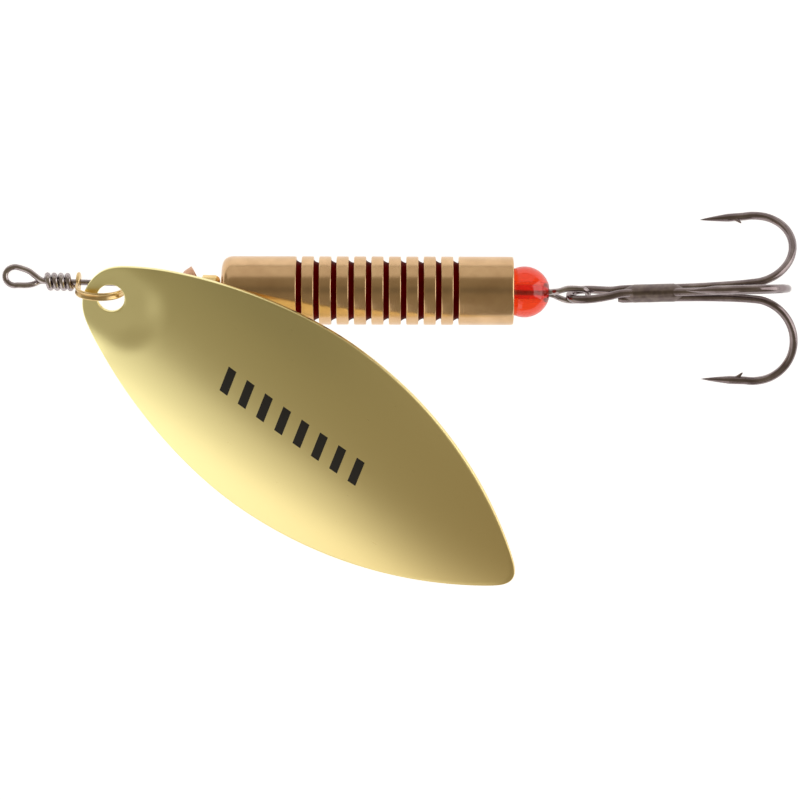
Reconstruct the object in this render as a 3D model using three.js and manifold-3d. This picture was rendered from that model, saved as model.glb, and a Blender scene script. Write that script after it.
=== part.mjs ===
// Inline spinner (fishing lure), in millimetres.
// A steel shaft wire carries, from front to rear, a folded clevis with a long leaf blade, a loose
// copper cup, a small brass bead, a grooved brass body, a red bead and a treble hook.
//
// Frame: the X axis is the shaft's axis, +X runs from the line-tie eye to the hook, and the origin
// is the point of that axis inside the eye. The lure lies on its side on the plane z = -4, which
// its body touches, with +Z up and the blade's long side towards -Y.
import * as THREE from "three";
import { mergeVertices } from "three/addons/utils/BufferGeometryUtils.js";
import Module from "manifold-3d";

const wasm = await Module();
wasm.setup();

// Driving dimensions

// Shaft wire: one piece of steel wire, bent to a loop at each end.
const WIRE_RADIUS = 0.35;
const WIRE_SIDES = 8;
const EYE_RADIUS = 1.08; // centre line of the line-tie eye's round front
const EYE_CENTRE = { x: -0.35, y: 0.52 };
const EYE_STRETCH = 1.08; // the eye is this much longer than it is wide
const WRAP_RADIUS = 0.74; // centre line of the wraps round the shaft
const WRAP_PITCH = 0.78;
const WRAP_START_X = 3.42; // where the first wrap is at its top
const WRAP_TURNS = 3.85;
const STRAIGHT_END_X = 55.2;
const STRAND_OFFSET = 0.37; // of each of the two strands inside the red bead
const REAR_LOOP_HALF_WIDTH = 1.02; // centre line
const REAR_LOOP_END_X = 66.53; // centre line of the bar that the hook's eye hangs on
const REAR_LOOP_TILT = THREE.MathUtils.degToRad(50); // of the loop's plane, from +Y towards +Z
const REAR_NECK_TILT = THREE.MathUtils.degToRad(68); // of its two strands just behind the bead

// Clevis: a brass strap folded to a U, with an ear on the shaft at each end.
const CLEVIS = {
  frontX: 7.06,
  rearX: 12.6,
  height: 5.3, // shaft axis to the middle of the bow
  tilt: THREE.MathUtils.degToRad(20), // the bow leans this far from +Z towards -Y
  halfWidth: 0.45,
  halfThickness: 0.2,
  legEnd: 0.6, // the strap's ends, from the shaft axis
  earRadius: 1.45,
  earSquash: 0.8, // the ears are narrower than they are tall
  earThickness: 0.5,
  boreRadius: 0.5,
};

// Blade: a long leaf dished from sheet, convex side up, with the rim of the dish in one plane.
const BLADE = {
  hole: new THREE.Vector3(11.25, -1.69, 3.5), // centre of the hole, in the rim's plane
  slope: { x: 0.1, y: 0.325 }, // of the rim's plane
  heading: THREE.MathUtils.degToRad(-33.85), // of the long axis, seen from above
  thickness: 0.7,
  dish: 0.0149, // height of the dish per square millimetre of half-width
  padRadius: 3.3, // flat pad round the hole
  padHalfWidth: 4.6, // the pad is as high as the dish is where the leaf has this half-width
  padBlend: 2.2, // width of the ring in which the pad runs into the dish
  holeRadius: 1.6,
};
// The leaf's outline on one side of its long axis, [distance from the hole, half-width]: a blunt
// front, a long shoulder to the widest place, the run to the tip, and the small round of the tip.
const LEAF_FRONT = [-3.05, 0];
const LEAF_CURVES = [
  [[-3.05, 1.9], [-2.2, 3.05], [-1, 3.95]],
  [[3.48, 7.21], [15.23, 12.23], [26.36, 12.23]],
  [[34.66, 12.23], [45.2, 10], [55, 2.75]],
  [[56.4, 1.7], [57.3, 0.95], [57.3, 0]],
];

// Copper cup, loose on the shaft in front of the small bead, mouth to the rear.
const CUP = {
  x: 21.17, // centre of the mouth
  y: 0.25,
  tilt: THREE.MathUtils.degToRad(26.4),
  mouthRadius: 2.2,
  wall: 0.28,
  depth: 1.57,
  holeRadius: 1,
};

const SMALL_BEAD = { frontX: 21.5, rearX: 23.6, radius: 1.25, boreRadius: 0.42 };

// Body: turned from 8 mm bar, with ten lacquered grooves. It hangs a little askew on the shaft.
const BODY = {
  frontX: 23.75,
  frontY: -0.52,
  skew: THREE.MathUtils.degToRad(1.31),
  length: 34.05,
  radius: 4,
  faceRadius: 3.05,
  chamfer: 1,
  boreRadius: 0.95,
  grooves: 10,
  firstGroove: 9.09, // middle of the first groove, from the front face
  groovePitch: 2.028,
  grooveWidth: 0.6,
  lacquerFront: 3.5, // the lacquer's radius at the front and at the rear of each groove
  lacquerRear: 3.2,
  lacquerDepth: 0.17,
  lacquerGap: 0.03,
  seatRadius: 3.16,
};
const TURNED_SIDES = 32;

const RED_BEAD = { x: 59.1, y: 0.17, radius: 3, boreRadius: 0.82 };

// Treble hook: a double hook bent from one wire, with the eye in its middle, and a single hook
// brazed to it. Along the hook's own axis, distances are from the bar that the eye hangs on.
const HOOK = {
  wire: 0.475, // radius
  eyeHalfWidth: 1.31,
  eyeFront: -2.13,
  eyeRear: 2.1,
  spacing: 1.12, // between two shanks
  singleStart: 3.5,
  brazeStart: 3.8,
  brazeEnd: 11.6,
  brazeRadius: 0.82,
  brazeGap: 0.035, // left between the brazing metal and each shank
  splitStart: 10.5,
  bendX: 18.75, // centre of the bend
  bendRadius: 4.85,
  reach: 11.7, // outer line of the bend's far side, from the hook's axis
  pointStart: 17.6,
  tipX: 12.6,
  tipIn: 0.4, // the point leans this far in towards the axis
  barbTipX: 17.5,
  barbDepth: 1.6, // barb's tip to the outer line
  pitch: THREE.MathUtils.degToRad(10.6), // the shanks rise this far from the X axis
  yaw: THREE.MathUtils.degToRad(2.6),
  hangs: { y: 0.05, z: 0.18 }, // the hook's axis passes this far from the shaft's at the loop
};
// Angles of the three hooks about their axis, from +Z towards +Y. They are brazed a little unevenly.
const HOOK_ANGLES = {
  raised: THREE.MathUtils.degToRad(-1),
  upper: THREE.MathUtils.degToRad(127),
  lower: THREE.MathUtils.degToRad(-111),
};

// Helpers

const X_AXIS = new THREE.Vector3(1, 0, 0);

/** A closed mesh as a manifold solid. */
function solidOf(geometry) {
  const plain = geometry.index ? geometry.toNonIndexed() : geometry.clone();
  plain.deleteAttribute("normal");
  plain.deleteAttribute("uv");
  const merged = mergeVertices(plain, 1e-4);
  return new wasm.Manifold(
    new wasm.Mesh({
      numProp: 3,
      vertProperties: merged.attributes.position.array,
      triVerts: new Uint32Array(merged.index.array),
    }),
  );
}

/** A manifold solid as a geometry. */
function geometryOf(solid) {
  const mesh = solid.getMesh();
  const geometry = new THREE.BufferGeometry();
  geometry.setAttribute("position", new THREE.BufferAttribute(mesh.vertProperties, 3));
  geometry.setIndex(new THREE.BufferAttribute(mesh.triVerts, 1));
  return geometry;
}

/** A regular polygon whose corners lie on a circle. */
function roundSection(radius, sides) {
  const corner = (_, i) => {
    const angle = (2 * Math.PI * (i + 0.5)) / sides;
    return new THREE.Vector2(radius * Math.cos(angle), radius * Math.sin(angle));
  };
  return new THREE.Shape(Array.from({ length: sides }, corner));
}

/** A smooth path whose steps follow its points, so that a straight stretch takes few of them. */
class PointPath extends THREE.CatmullRomCurve3 {
  getPointAt(t, target) {
    return this.getPoint(t, target);
  }
  getTangentAt(t, target) {
    return this.getTangent(t, target);
  }
}

/** A round bar along a list of points. */
function bar(points, radius, sides) {
  return new THREE.ExtrudeGeometry(roundSection(radius, sides), {
    steps: points.length - 1,
    extrudePath: new PointPath(points),
    bevelEnabled: false,
  });
}

/** A turned solid about the X axis. Its closed profile of [x, radius] runs along the outside in +X. */
function turned(profile, sides = TURNED_SIDES) {
  const corners = profile.map(([x, r]) => new THREE.Vector2(r, x));
  corners.push(corners[0].clone());
  return new THREE.LatheGeometry(corners, sides).rotateZ(-Math.PI / 2);
}

/** Points of an arc in a profile: centre x, radius, and the two angles from +X towards outside. */
function profileArc(cx, cr, radius, from, to, steps) {
  return Array.from({ length: steps + 1 }, (_, i) => {
    const angle = THREE.MathUtils.degToRad(from + ((to - from) * i) / steps);
    return [cx + radius * Math.cos(angle), cr + radius * Math.sin(angle)];
  });
}

/** A closed solid through rings of equal length, closed by a point at each end. */
function lofted(rings, start, end) {
  const positions = [start, ...rings.flat(), end].flatMap((p) => p.toArray());
  const size = rings[0].length;
  const last = rings.length * size + 1;
  const index = [];
  for (let j = 0; j < size; j++) {
    const k = (j + 1) % size;
    index.push(0, 1 + k, 1 + j, last, last - size + j, last - size + k);
    for (let i = 0; i < rings.length - 1; i++) {
      const a = 1 + i * size;
      const b = a + size;
      index.push(a + j, a + k, b + k, a + j, b + k, b + j);
    }
  }
  const geometry = new THREE.BufferGeometry();
  geometry.setAttribute("position", new THREE.Float32BufferAttribute(positions, 3));
  geometry.setIndex(index);
  return geometry;
}

const FINISH = {
  steel: { color: 0x6e6165, roughness: 0.35, metalness: 0.9 },
  blade: { color: 0xd9c67e, roughness: 0.18, metalness: 1 },
  clevis: { color: 0xd8ad62, roughness: 0.28, metalness: 1 },
  copper: { color: 0xb48468, roughness: 0.35, metalness: 1 },
  bead: { color: 0xd9b36a, roughness: 0.3, metalness: 1 },
  brass: { color: 0xb98f5c, roughness: 0.38, metalness: 0.9 },
  lacquer: { color: 0x4a0004, roughness: 0.25, metalness: 0 },
  plastic: { color: 0xe8401f, roughness: 0.1, metalness: 0 },
  hook: { color: 0x675a5a, roughness: 0.35, metalness: 0.9 },
  braze: { color: 0x7a6a5e, roughness: 0.45, metalness: 0.9 },
};

function piece(name, geometry, finish) {
  const mesh = new THREE.Mesh(geometry, new THREE.MeshStandardMaterial(FINISH[finish]));
  mesh.name = name;
  return mesh;
}

// Shaft wire

/** A point at a distance from the shaft's axis, turned from +Y towards +Z. */
function around(x, radius, angle) {
  return new THREE.Vector3(x, radius * Math.cos(angle), radius * Math.sin(angle));
}

/** From the straight shaft forward round the line-tie eye, then back in wraps over the shaft. */
function frontPoints() {
  const point = (x, y, z) => new THREE.Vector3(x, y, z);
  const points = [
    point(5.2, 0, 0),
    point(4.2, 0, 0),
    point(3.4, 0.01, 0),
    point(2.7, 0.16, 0.02),
    point(2.0, 0.62, 0.05),
    point(1.25, 1.15, 0.05),
  ];
  for (let angle = 75; angle <= 285; angle += 21) {
    const a = THREE.MathUtils.degToRad(angle);
    const x = EYE_CENTRE.x + EYE_STRETCH * EYE_RADIUS * Math.cos(a);
    points.push(point(x, EYE_CENTRE.y + EYE_RADIUS * Math.sin(a), 0));
  }
  points.push(point(1.0, -0.5, -0.12), point(1.8, -0.32, -0.38), point(2.4, 0.0, -0.66));
  const wrapSteps = 14;
  for (let i = -3; i <= WRAP_TURNS * wrapSteps; i++) {
    const turn = i / wrapSteps;
    points.push(around(WRAP_START_X + WRAP_PITCH * turn, WRAP_RADIUS, 2 * Math.PI * turn));
  }
  return points;
}

/** From the straight shaft through the red bead, round the hook's bar and back into the bead. */
function rearPoints() {
  const across = (x, offset) => around(x, offset, REAR_LOOP_TILT);
  const neck = (offset) => around(63.1, offset, REAR_NECK_TILT);
  const point = (x, y, z) => new THREE.Vector3(x, y, z);
  const w = REAR_LOOP_HALF_WIDTH;
  const arcX = REAR_LOOP_END_X - w;
  const points = [
    point(STRAIGHT_END_X - 1, 0, 0),
    point(STRAIGHT_END_X, 0, 0),
    point(56.2, 0.03, -0.12),
    point(57.2, 0.08, -STRAND_OFFSET),
    point(58.5, 0.08, -STRAND_OFFSET),
    point(61.4, 0.06, -STRAND_OFFSET),
    point(62.4, -0.08, -0.42),
    neck(-0.9),
    across(64.1, -w),
  ];
  for (let angle = -90; angle <= 90; angle += 22.5) {
    const a = THREE.MathUtils.degToRad(angle);
    points.push(across(arcX + w * Math.cos(a), w * Math.sin(a)));
  }
  points.push(
    across(64.1, w),
    neck(0.9),
    point(62.4, 0.26, 0.42),
    point(61.4, 0.12, STRAND_OFFSET),
    point(60.2, 0.08, STRAND_OFFSET),
  );
  return points;
}

function shaftWire() {
  const straight = [40, 20].map((x) => X_AXIS.clone().multiplyScalar(x));
  const points = [...rearPoints().reverse(), ...straight, ...frontPoints()];
  return piece("shaft_wire", bar(points, WIRE_RADIUS, WIRE_SIDES), "steel");
}

// Clevis

/** Drawn in its own plane, X along the shaft and Y up the bow, then leaned over as a group. */
function clevis() {
  const middleX = (CLEVIS.frontX + CLEVIS.rearX) / 2;
  const bow = (CLEVIS.rearX - CLEVIS.frontX) / 2;
  const springY = CLEVIS.height - bow;
  const t = CLEVIS.halfThickness;
  const outline = new THREE.Shape();
  outline.moveTo(middleX - bow - t, CLEVIS.legEnd);
  outline.lineTo(middleX - bow + t, CLEVIS.legEnd);
  outline.lineTo(middleX - bow + t, springY);
  outline.absarc(middleX, springY, bow - t, Math.PI, 0, true);
  outline.lineTo(middleX + bow - t, CLEVIS.legEnd);
  outline.lineTo(middleX + bow + t, CLEVIS.legEnd);
  outline.lineTo(middleX + bow + t, springY);
  outline.absarc(middleX, springY, bow + t, 0, Math.PI, false);
  const strap = new THREE.ExtrudeGeometry(outline, {
    depth: 2 * CLEVIS.halfWidth,
    curveSegments: 18,
    bevelEnabled: true,
    bevelThickness: 0.1,
    bevelSize: 0.08,
    bevelOffset: -0.08,
    bevelSegments: 1,
  }).translate(0, 0, -CLEVIS.halfWidth);
  let solid = solidOf(strap);
  for (const x of [CLEVIS.frontX, CLEVIS.rearX]) {
    const { earRadius, earThickness, earSquash } = CLEVIS;
    const ear = new THREE.CylinderGeometry(earRadius, earRadius, earThickness, 24)
      .scale(1, 1, earSquash)
      .rotateZ(Math.PI / 2)
      .translate(x, 0, 0);
    solid = solid.add(solidOf(ear));
  }
  const bore = new THREE.CylinderGeometry(CLEVIS.boreRadius, CLEVIS.boreRadius, 12, 16)
    .rotateZ(Math.PI / 2)
    .translate(middleX, 0, 0);
  const group = new THREE.Group();
  group.add(piece("clevis", geometryOf(solid.subtract(solidOf(bore))), "clevis"));
  group.rotation.x = Math.PI / 2 + CLEVIS.tilt;
  return group;
}

// Blade

const leafOutline = new THREE.Path();
leafOutline.moveTo(...LEAF_FRONT);
for (const curve of LEAF_CURVES) leafOutline.bezierCurveTo(...curve.flat());

/** Height of the sheet's middle above the rim's plane: a dish, with a flat pad round the hole. */
function bladeHeight(u, v, halfWidth) {
  const dish = BLADE.dish * (halfWidth ** 2 - v ** 2);
  const pad = BLADE.dish * BLADE.padHalfWidth ** 2;
  const away = (Math.hypot(u, v) - BLADE.padRadius) / BLADE.padBlend;
  return THREE.MathUtils.lerp(pad, dish, THREE.MathUtils.smoothstep(away, 0, 1));
}

function blade() {
  const stations = 30;
  const across = 10;
  const half = BLADE.thickness / 2;
  const rings = [];
  for (let i = 1; i < stations; i++) {
    const along = (1 - Math.cos((Math.PI * i) / stations)) / 2;
    const { x: u, y: h } = leafOutline.getPoint(along);
    const ring = [];
    for (const side of [1, -1]) {
      for (let j = 0; j <= across; j++) {
        const v = side * h * Math.cos((Math.PI * j) / across);
        ring.push(new THREE.Vector3(u, v, bladeHeight(u, v, h) + side * half));
      }
    }
    rings.push(ring);
  }
  const endPoint = (t) => {
    const u = leafOutline.getPoint(t).x;
    return new THREE.Vector3(u, 0, bladeHeight(u, 0, 0));
  };
  const leaf = lofted(rings, endPoint(0), endPoint(1));
  const { holeRadius } = BLADE;
  const hole = new THREE.CylinderGeometry(holeRadius, holeRadius, 8, 24).rotateX(Math.PI / 2);
  const mesh = piece("blade", geometryOf(solidOf(leaf).subtract(solidOf(hole))), "blade");

  const normal = new THREE.Vector3(-BLADE.slope.x, -BLADE.slope.y, 1).normalize();
  const seenX = Math.cos(BLADE.heading);
  const seenY = Math.sin(BLADE.heading);
  const rise = BLADE.slope.x * seenX + BLADE.slope.y * seenY;
  const along = new THREE.Vector3(seenX, seenY, rise).normalize();
  const group = new THREE.Group();
  group.add(mesh);
  group.position.copy(BLADE.hole);
  const basis = new THREE.Matrix4().makeBasis(along, normal.clone().cross(along), normal);
  group.quaternion.setFromRotationMatrix(basis);
  return group;
}

// Turned and moulded pieces on the shaft

/** Its own axis runs forward from the mouth. The wall narrows a little, then rounds to the hole. */
function cup() {
  const { mouthRadius: r, wall, depth, holeRadius } = CUP;
  const shoulder = 0.9;
  const outside = profileArc(-depth + shoulder, r - 0.1 - shoulder, shoulder, 180, 90, 4);
  const inside = profileArc(-depth + shoulder, r - 0.1 - shoulder, shoulder - wall, 90, 180, 4);
  const profile = [
    [-depth, holeRadius],
    ...outside,
    [0, r],
    [0, r - wall],
    ...inside,
    [-depth + wall, holeRadius],
  ];
  const mesh = piece("copper_cup", turned(profile, 24), "copper");
  mesh.position.set(CUP.x, CUP.y, 0);
  mesh.rotation.z = CUP.tilt;
  return mesh;
}

function smallBead() {
  const { frontX, rearX, radius, boreRadius } = SMALL_BEAD;
  const edge = 0.7;
  const profile = [
    [frontX, boreRadius],
    [frontX, radius - 0.15],
    [frontX + 0.15, radius],
    ...profileArc(rearX - edge, radius - edge, edge, 90, 0, 4),
    [rearX, boreRadius],
  ];
  return piece("front_brass_bead", turned(profile, 24), "bead");
}

/** Distance of each groove's middle from the body's front face. */
const grooveMiddles = Array.from(
  { length: BODY.grooves },
  (_, i) => BODY.firstGroove + i * BODY.groovePitch,
);

function bodyBarrel() {
  const { length, radius, boreRadius, chamfer, faceRadius, seatRadius } = BODY;
  const seatX = (RED_BEAD.x - BODY.frontX) / Math.cos(BODY.skew);
  const mouth = THREE.MathUtils.radToDeg(Math.acos((length - seatX) / seatRadius));
  const throat = THREE.MathUtils.radToDeg(Math.PI - Math.asin(boreRadius / seatRadius));
  const edge = 0.15;
  const profile = [
    [0, boreRadius],
    [0.08, faceRadius],
    [0.35, faceRadius + 0.6],
    [chamfer, radius],
  ];
  for (const middle of grooveMiddles) {
    const a = middle - BODY.grooveWidth / 2;
    const b = middle + BODY.grooveWidth / 2;
    profile.push(
      [a, radius],
      [a, BODY.lacquerFront - BODY.lacquerDepth],
      [b, BODY.lacquerRear - BODY.lacquerDepth],
      [b, radius],
    );
  }
  profile.push([length - edge, radius], [length, radius - edge]);
  profile.push(...profileArc(seatX, 0, seatRadius, mouth, throat, 6));
  return piece("body_barrel", turned(profile), "brass");
}

function grooveLacquer(middle, number) {
  const a = middle - BODY.grooveWidth / 2 + BODY.lacquerGap;
  const b = middle + BODY.grooveWidth / 2 - BODY.lacquerGap;
  const floor = BODY.lacquerDepth - BODY.lacquerGap;
  const profile = [
    [a, BODY.lacquerFront - floor],
    [a, BODY.lacquerFront],
    [b, BODY.lacquerRear],
    [b, BODY.lacquerRear - floor],
  ];
  return piece("groove_lacquer_" + number, turned(profile), "lacquer");
}

function body() {
  const group = new THREE.Group();
  group.add(bodyBarrel(), ...grooveMiddles.map((middle, i) => grooveLacquer(middle, i + 1)));
  group.position.set(BODY.frontX, BODY.frontY, 0);
  group.rotation.z = BODY.skew;
  return group;
}

function redBead() {
  const { radius, boreRadius, x, y } = RED_BEAD;
  const start = THREE.MathUtils.radToDeg(Math.asin(boreRadius / radius));
  const outside = profileArc(0, 0, radius, 180 - start, start, 16);
  const mesh = piece("red_bead", turned(outside, 24), "plastic");
  mesh.position.set(x, y, 0);
  return mesh;
}

// Treble hook, drawn along its own X axis, each hook lying in the half-plane at its own angle

/** A point at a distance along the hook's axis and at a distance out from it at an angle. */
function hookPoint(x, out, angle) {
  return new THREE.Vector3(x, out * Math.sin(angle), out * Math.cos(angle));
}

const SHANK_OUT = HOOK.spacing / Math.sqrt(3);

/** The bend and the point's straight stretch, from the shank's end to the start of the point. */
function bendPoints(angle) {
  const { bendX, bendRadius, reach, pointStart, wire } = HOOK;
  const outer = reach - wire;
  const middle = (outer + SHANK_OUT + 0.4) / 2;
  const half = outer - middle;
  const points = [
    hookPoint(HOOK.splitStart, SHANK_OUT, angle),
    hookPoint(14.5, SHANK_OUT + 0.1, angle),
  ];
  for (let turn = 0; turn <= 180; turn += 20) {
    const a = THREE.MathUtils.degToRad(turn);
    const out = middle - half * Math.cos(a);
    points.push(hookPoint(bendX + bendRadius * Math.sin(a), out, angle));
  }
  points.push(hookPoint(pointStart, outer - 0.1, angle));
  return points;
}

/** A cone from one place to another in a hook's own half-plane, given as [x, out]. */
function hookCone([x0, out0], [x1, out1], radius, tipRadius, angle) {
  const length = Math.hypot(x1 - x0, out1 - out0);
  const cone = new THREE.CylinderGeometry(tipRadius, radius, length, WIRE_SIDES)
    .rotateZ(Math.atan2(out1 - out0, x1 - x0) - Math.PI / 2)
    .translate((x0 + x1) / 2, (out0 + out1) / 2, 0)
    .rotateX(Math.PI / 2 - angle);
  return solidOf(cone);
}

/** The tapered point and its barb. Both overlap the wire they stand on, so that they join it. */
function hookTip(angle) {
  const { pointStart, tipX, tipIn, reach, wire, barbTipX, barbDepth } = HOOK;
  const outer = reach - wire;
  const pointRoot = [pointStart + 0.15, outer - 0.08];
  const barbRoot = [barbTipX - 2.1, outer - 0.55];
  const point = hookCone(pointRoot, [tipX, outer - tipIn], wire, 0.04, angle);
  const barb = hookCone(barbRoot, [barbTipX, reach - barbDepth], 0.2, 0.03, angle);
  return point.add(barb);
}

function doubleHook() {
  const { eyeHalfWidth: w, eyeFront, eyeRear, wire } = HOOK;
  const middle = hookPoint(0, SHANK_OUT, HOOK_ANGLES.raised)
    .add(hookPoint(0, SHANK_OUT, HOOK_ANGLES.upper))
    .divideScalar(2);
  const side = hookPoint(0, SHANK_OUT, HOOK_ANGLES.raised).sub(middle).normalize();
  const eyePoint = (x, out, shift) =>
    new THREE.Vector3(x, 0, 0).addScaledVector(side, out).addScaledVector(middle, shift);
  const eye = [
    eyePoint(eyeRear + 0.6, 0.75, 0.3),
    eyePoint(eyeRear - 0.9, 1.13, 0),
    eyePoint(0.2, w, 0),
  ];
  for (let turn = 90; turn <= 270; turn += 22.5) {
    const a = THREE.MathUtils.degToRad(turn);
    eye.push(eyePoint(eyeFront + w + w * Math.cos(a), w * Math.sin(a), 0));
  }
  eye.push(
    eyePoint(0.2, -w, 0),
    eyePoint(eyeRear - 0.9, -1.13, 0),
    eyePoint(eyeRear + 0.6, -0.75, 0.3),
  );
  const shankStart = hookPoint(4, SHANK_OUT, HOOK_ANGLES.raised);
  const otherStart = hookPoint(4, SHANK_OUT, HOOK_ANGLES.upper);
  const points = [
    ...bendPoints(HOOK_ANGLES.raised).reverse(),
    shankStart,
    ...eye,
    otherStart,
    ...bendPoints(HOOK_ANGLES.upper),
  ];
  const solid = solidOf(bar(points, wire, WIRE_SIDES))
    .add(hookTip(HOOK_ANGLES.raised))
    .add(hookTip(HOOK_ANGLES.upper));
  return piece("treble_double_hook", geometryOf(solid), "hook");
}

function singleHook() {
  const points = [
    hookPoint(HOOK.singleStart, SHANK_OUT, HOOK_ANGLES.lower),
    ...bendPoints(HOOK_ANGLES.lower),
  ];
  const solid = solidOf(bar(points, HOOK.wire, WIRE_SIDES)).add(hookTip(HOOK_ANGLES.lower));
  return piece("treble_single_hook", geometryOf(solid), "hook");
}

/** The brazing metal that joins the three shanks: what is left between them of a round bar. */
function braze() {
  const length = HOOK.brazeEnd - HOOK.brazeStart;
  const middleX = (HOOK.brazeEnd + HOOK.brazeStart) / 2;
  const filler = new THREE.CylinderGeometry(HOOK.brazeRadius, HOOK.brazeRadius, length, 24)
    .rotateZ(Math.PI / 2)
    .translate(middleX, 0, 0);
  const room = HOOK.wire + HOOK.brazeGap;
  let solid = solidOf(filler);
  for (const angle of Object.values(HOOK_ANGLES)) {
    const { y, z } = hookPoint(0, SHANK_OUT, angle);
    const shank = new THREE.CylinderGeometry(room, room, 2 * length, 24)
      .rotateZ(Math.PI / 2)
      .translate(middleX, y, z);
    solid = solid.subtract(solidOf(shank));
  }
  return piece("treble_braze", geometryOf(solid), "braze");
}

function treble() {
  const group = new THREE.Group();
  group.add(doubleHook(), singleHook(), braze());
  group.position.set(REAR_LOOP_END_X, HOOK.hangs.y, HOOK.hangs.z);
  group.rotation.set(0, -HOOK.pitch, HOOK.yaw, "ZYX");
  return group;
}

const spinner = new THREE.Group();
spinner.add(shaftWire(), clevis(), blade(), cup(), smallBead(), body(), redBead(), treble());

export default spinner;
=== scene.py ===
"""Inline spinner (fishing lure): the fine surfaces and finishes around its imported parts.

Lengths in this file are millimetres until a mesh is made, and the frame is the part's own: the X axis
is the shaft's axis, and +X runs from the line-tie eye to the hook.
"""
import math

import bpy
import numpy as np
from mathutils import Matrix


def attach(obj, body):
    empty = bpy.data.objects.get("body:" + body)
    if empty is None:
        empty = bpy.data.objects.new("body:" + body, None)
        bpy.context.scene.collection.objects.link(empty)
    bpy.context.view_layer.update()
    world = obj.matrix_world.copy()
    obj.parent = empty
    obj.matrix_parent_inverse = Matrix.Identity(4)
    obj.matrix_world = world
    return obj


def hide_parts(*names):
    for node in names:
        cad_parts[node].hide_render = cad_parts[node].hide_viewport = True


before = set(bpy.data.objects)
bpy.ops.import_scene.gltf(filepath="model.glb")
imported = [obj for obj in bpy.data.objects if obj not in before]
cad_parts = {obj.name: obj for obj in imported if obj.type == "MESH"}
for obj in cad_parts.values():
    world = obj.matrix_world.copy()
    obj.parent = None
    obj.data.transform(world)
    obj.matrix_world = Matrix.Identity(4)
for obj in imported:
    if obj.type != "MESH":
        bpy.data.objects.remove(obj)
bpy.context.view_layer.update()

MM = 0.001
TURN = 2 * math.pi

# ---------------------------------------------------------------------------------------------------
# Sizes, which repeat the part's own
# ---------------------------------------------------------------------------------------------------

WIRE_RADIUS = 0.35
EYE_RADIUS = 1.08
EYE_CENTRE = (-0.35, 0.52)
EYE_STRETCH = 1.08
WRAP_RADIUS = 0.74
WRAP_PITCH = 0.78
WRAP_START_X = 3.42
WRAP_TURNS = 3.85
STRAND_OFFSET = 0.37
REAR_LOOP_HALF_WIDTH = 1.02
REAR_LOOP_END_X = 66.53
REAR_LOOP_TILT = math.radians(50)
REAR_NECK_TILT = math.radians(68)

CLEVIS_FRONT_X = 7.06
CLEVIS_REAR_X = 12.6
CLEVIS_HEIGHT = 5.3
CLEVIS_TILT = math.radians(20)
CLEVIS_LEG_END = 0.6
CLEVIS_HALF_WIDTH = 0.45
CLEVIS_HALF_THICKNESS = 0.2
EAR_RADIUS = 1.45
EAR_SQUASH = 0.8
EAR_THICKNESS = 0.5
EAR_BORE = 0.5

BLADE_HOLE = (11.25, -1.69, 3.5)
BLADE_SLOPE = (0.1, 0.325)
BLADE_HEADING = math.radians(-33.85)
BLADE_THICKNESS = 0.7
BLADE_DISH = 0.0149
PAD_RADIUS = 3.3
PAD_HALF_WIDTH = 4.6
HOLE_RADIUS = 1.6
LEAF_CURVES = [
    [(-3.05, 0), (-3.05, 1.9), (-2.2, 3.05), (-1, 3.95)],
    [(-1, 3.95), (3.48, 7.21), (15.23, 12.23), (26.36, 12.23)],
    [(26.36, 12.23), (34.66, 12.23), (45.2, 10), (55, 2.75)],
    [(55, 2.75), (56.4, 1.7), (57.3, 0.95), (57.3, 0)],
]

CUP_X = 21.17
CUP_Y = 0.25
CUP_TILT = math.radians(26.4)
CUP_MOUTH = 2.2
CUP_WALL = 0.28
CUP_DEPTH = 1.57
CUP_HOLE = 1.0

BEAD_FRONT_X = 21.5
BEAD_REAR_X = 23.6
BEAD_RADIUS = 1.25
BEAD_BORE = 0.42

BODY_FRONT = (23.75, -0.52)
BODY_SKEW = math.radians(1.31)
BODY_LENGTH = 34.05
BODY_RADIUS = 4.0
BODY_FACE_RADIUS = 3.05
BODY_BORE = 0.95
GROOVES = 10
FIRST_GROOVE = 9.09
GROOVE_PITCH = 2.028
GROOVE_WIDTH = 0.6
LACQUER_FRONT = 3.5
LACQUER_REAR = 3.2
LACQUER_DEPTH = 0.17
SEAT_RADIUS = 3.16

RED_BEAD_PLACE = (59.1, 0.17)
RED_BEAD_RADIUS = 3.0
RED_BEAD_BORE = 0.82

HOOK_WIRE = 0.475
HOOK_EYE_HALF_WIDTH = 1.31
HOOK_EYE_FRONT = -2.13
HOOK_EYE_REAR = 2.1
SHANK_OUT = 1.12 / math.sqrt(3)
SINGLE_START = 3.5
BRAZE_START = 3.8
BRAZE_END = 11.6
SPLIT_START = 10.5
BEND_X = 18.75
BEND_RADIUS = 4.85
HOOK_REACH = 11.7
POINT_START = 17.6
POINT_TIP_X = 12.6
POINT_TIP_IN = 0.4
BARB_TIP_X = 17.5
HOOK_PITCH = math.radians(10.6)
HOOK_YAW = math.radians(2.6)
HOOK_PLACE = (REAR_LOOP_END_X, 0.05, 0.18)
RAISED, UPPER, LOWER = math.radians(-1), math.radians(127), math.radians(-111)

# ---------------------------------------------------------------------------------------------------
# Sizes of what only this file draws
# ---------------------------------------------------------------------------------------------------

PAD_BLEND = 4.2
EDGE_ROLL = 0.14
HOLE_ROLL = 0.08

POINT_LENGTH = 3.3
BARB_LIFT = 1.08
BARB_ROOT_RADIUS = 0.26
BARB_TIP_RADIUS = 0.012

BRAZE_END_RADIUS = 0.3
BRAZE_SWELL = 0.66
BRAZE_FILLET = 0.17

PRINT_START = 16.1
PRINT_PITCH = 2.6
PRINT_BAR = 1.1
PRINT_BARS = 8
PRINT_MIDDLE = 0.5
PRINT_HALF_HEIGHT = 1.5
PRINT_LEAN = 0.25

FLOOR_Z = -60.0
FLOOR_HALF_WIDTH = 3000.0

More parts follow.
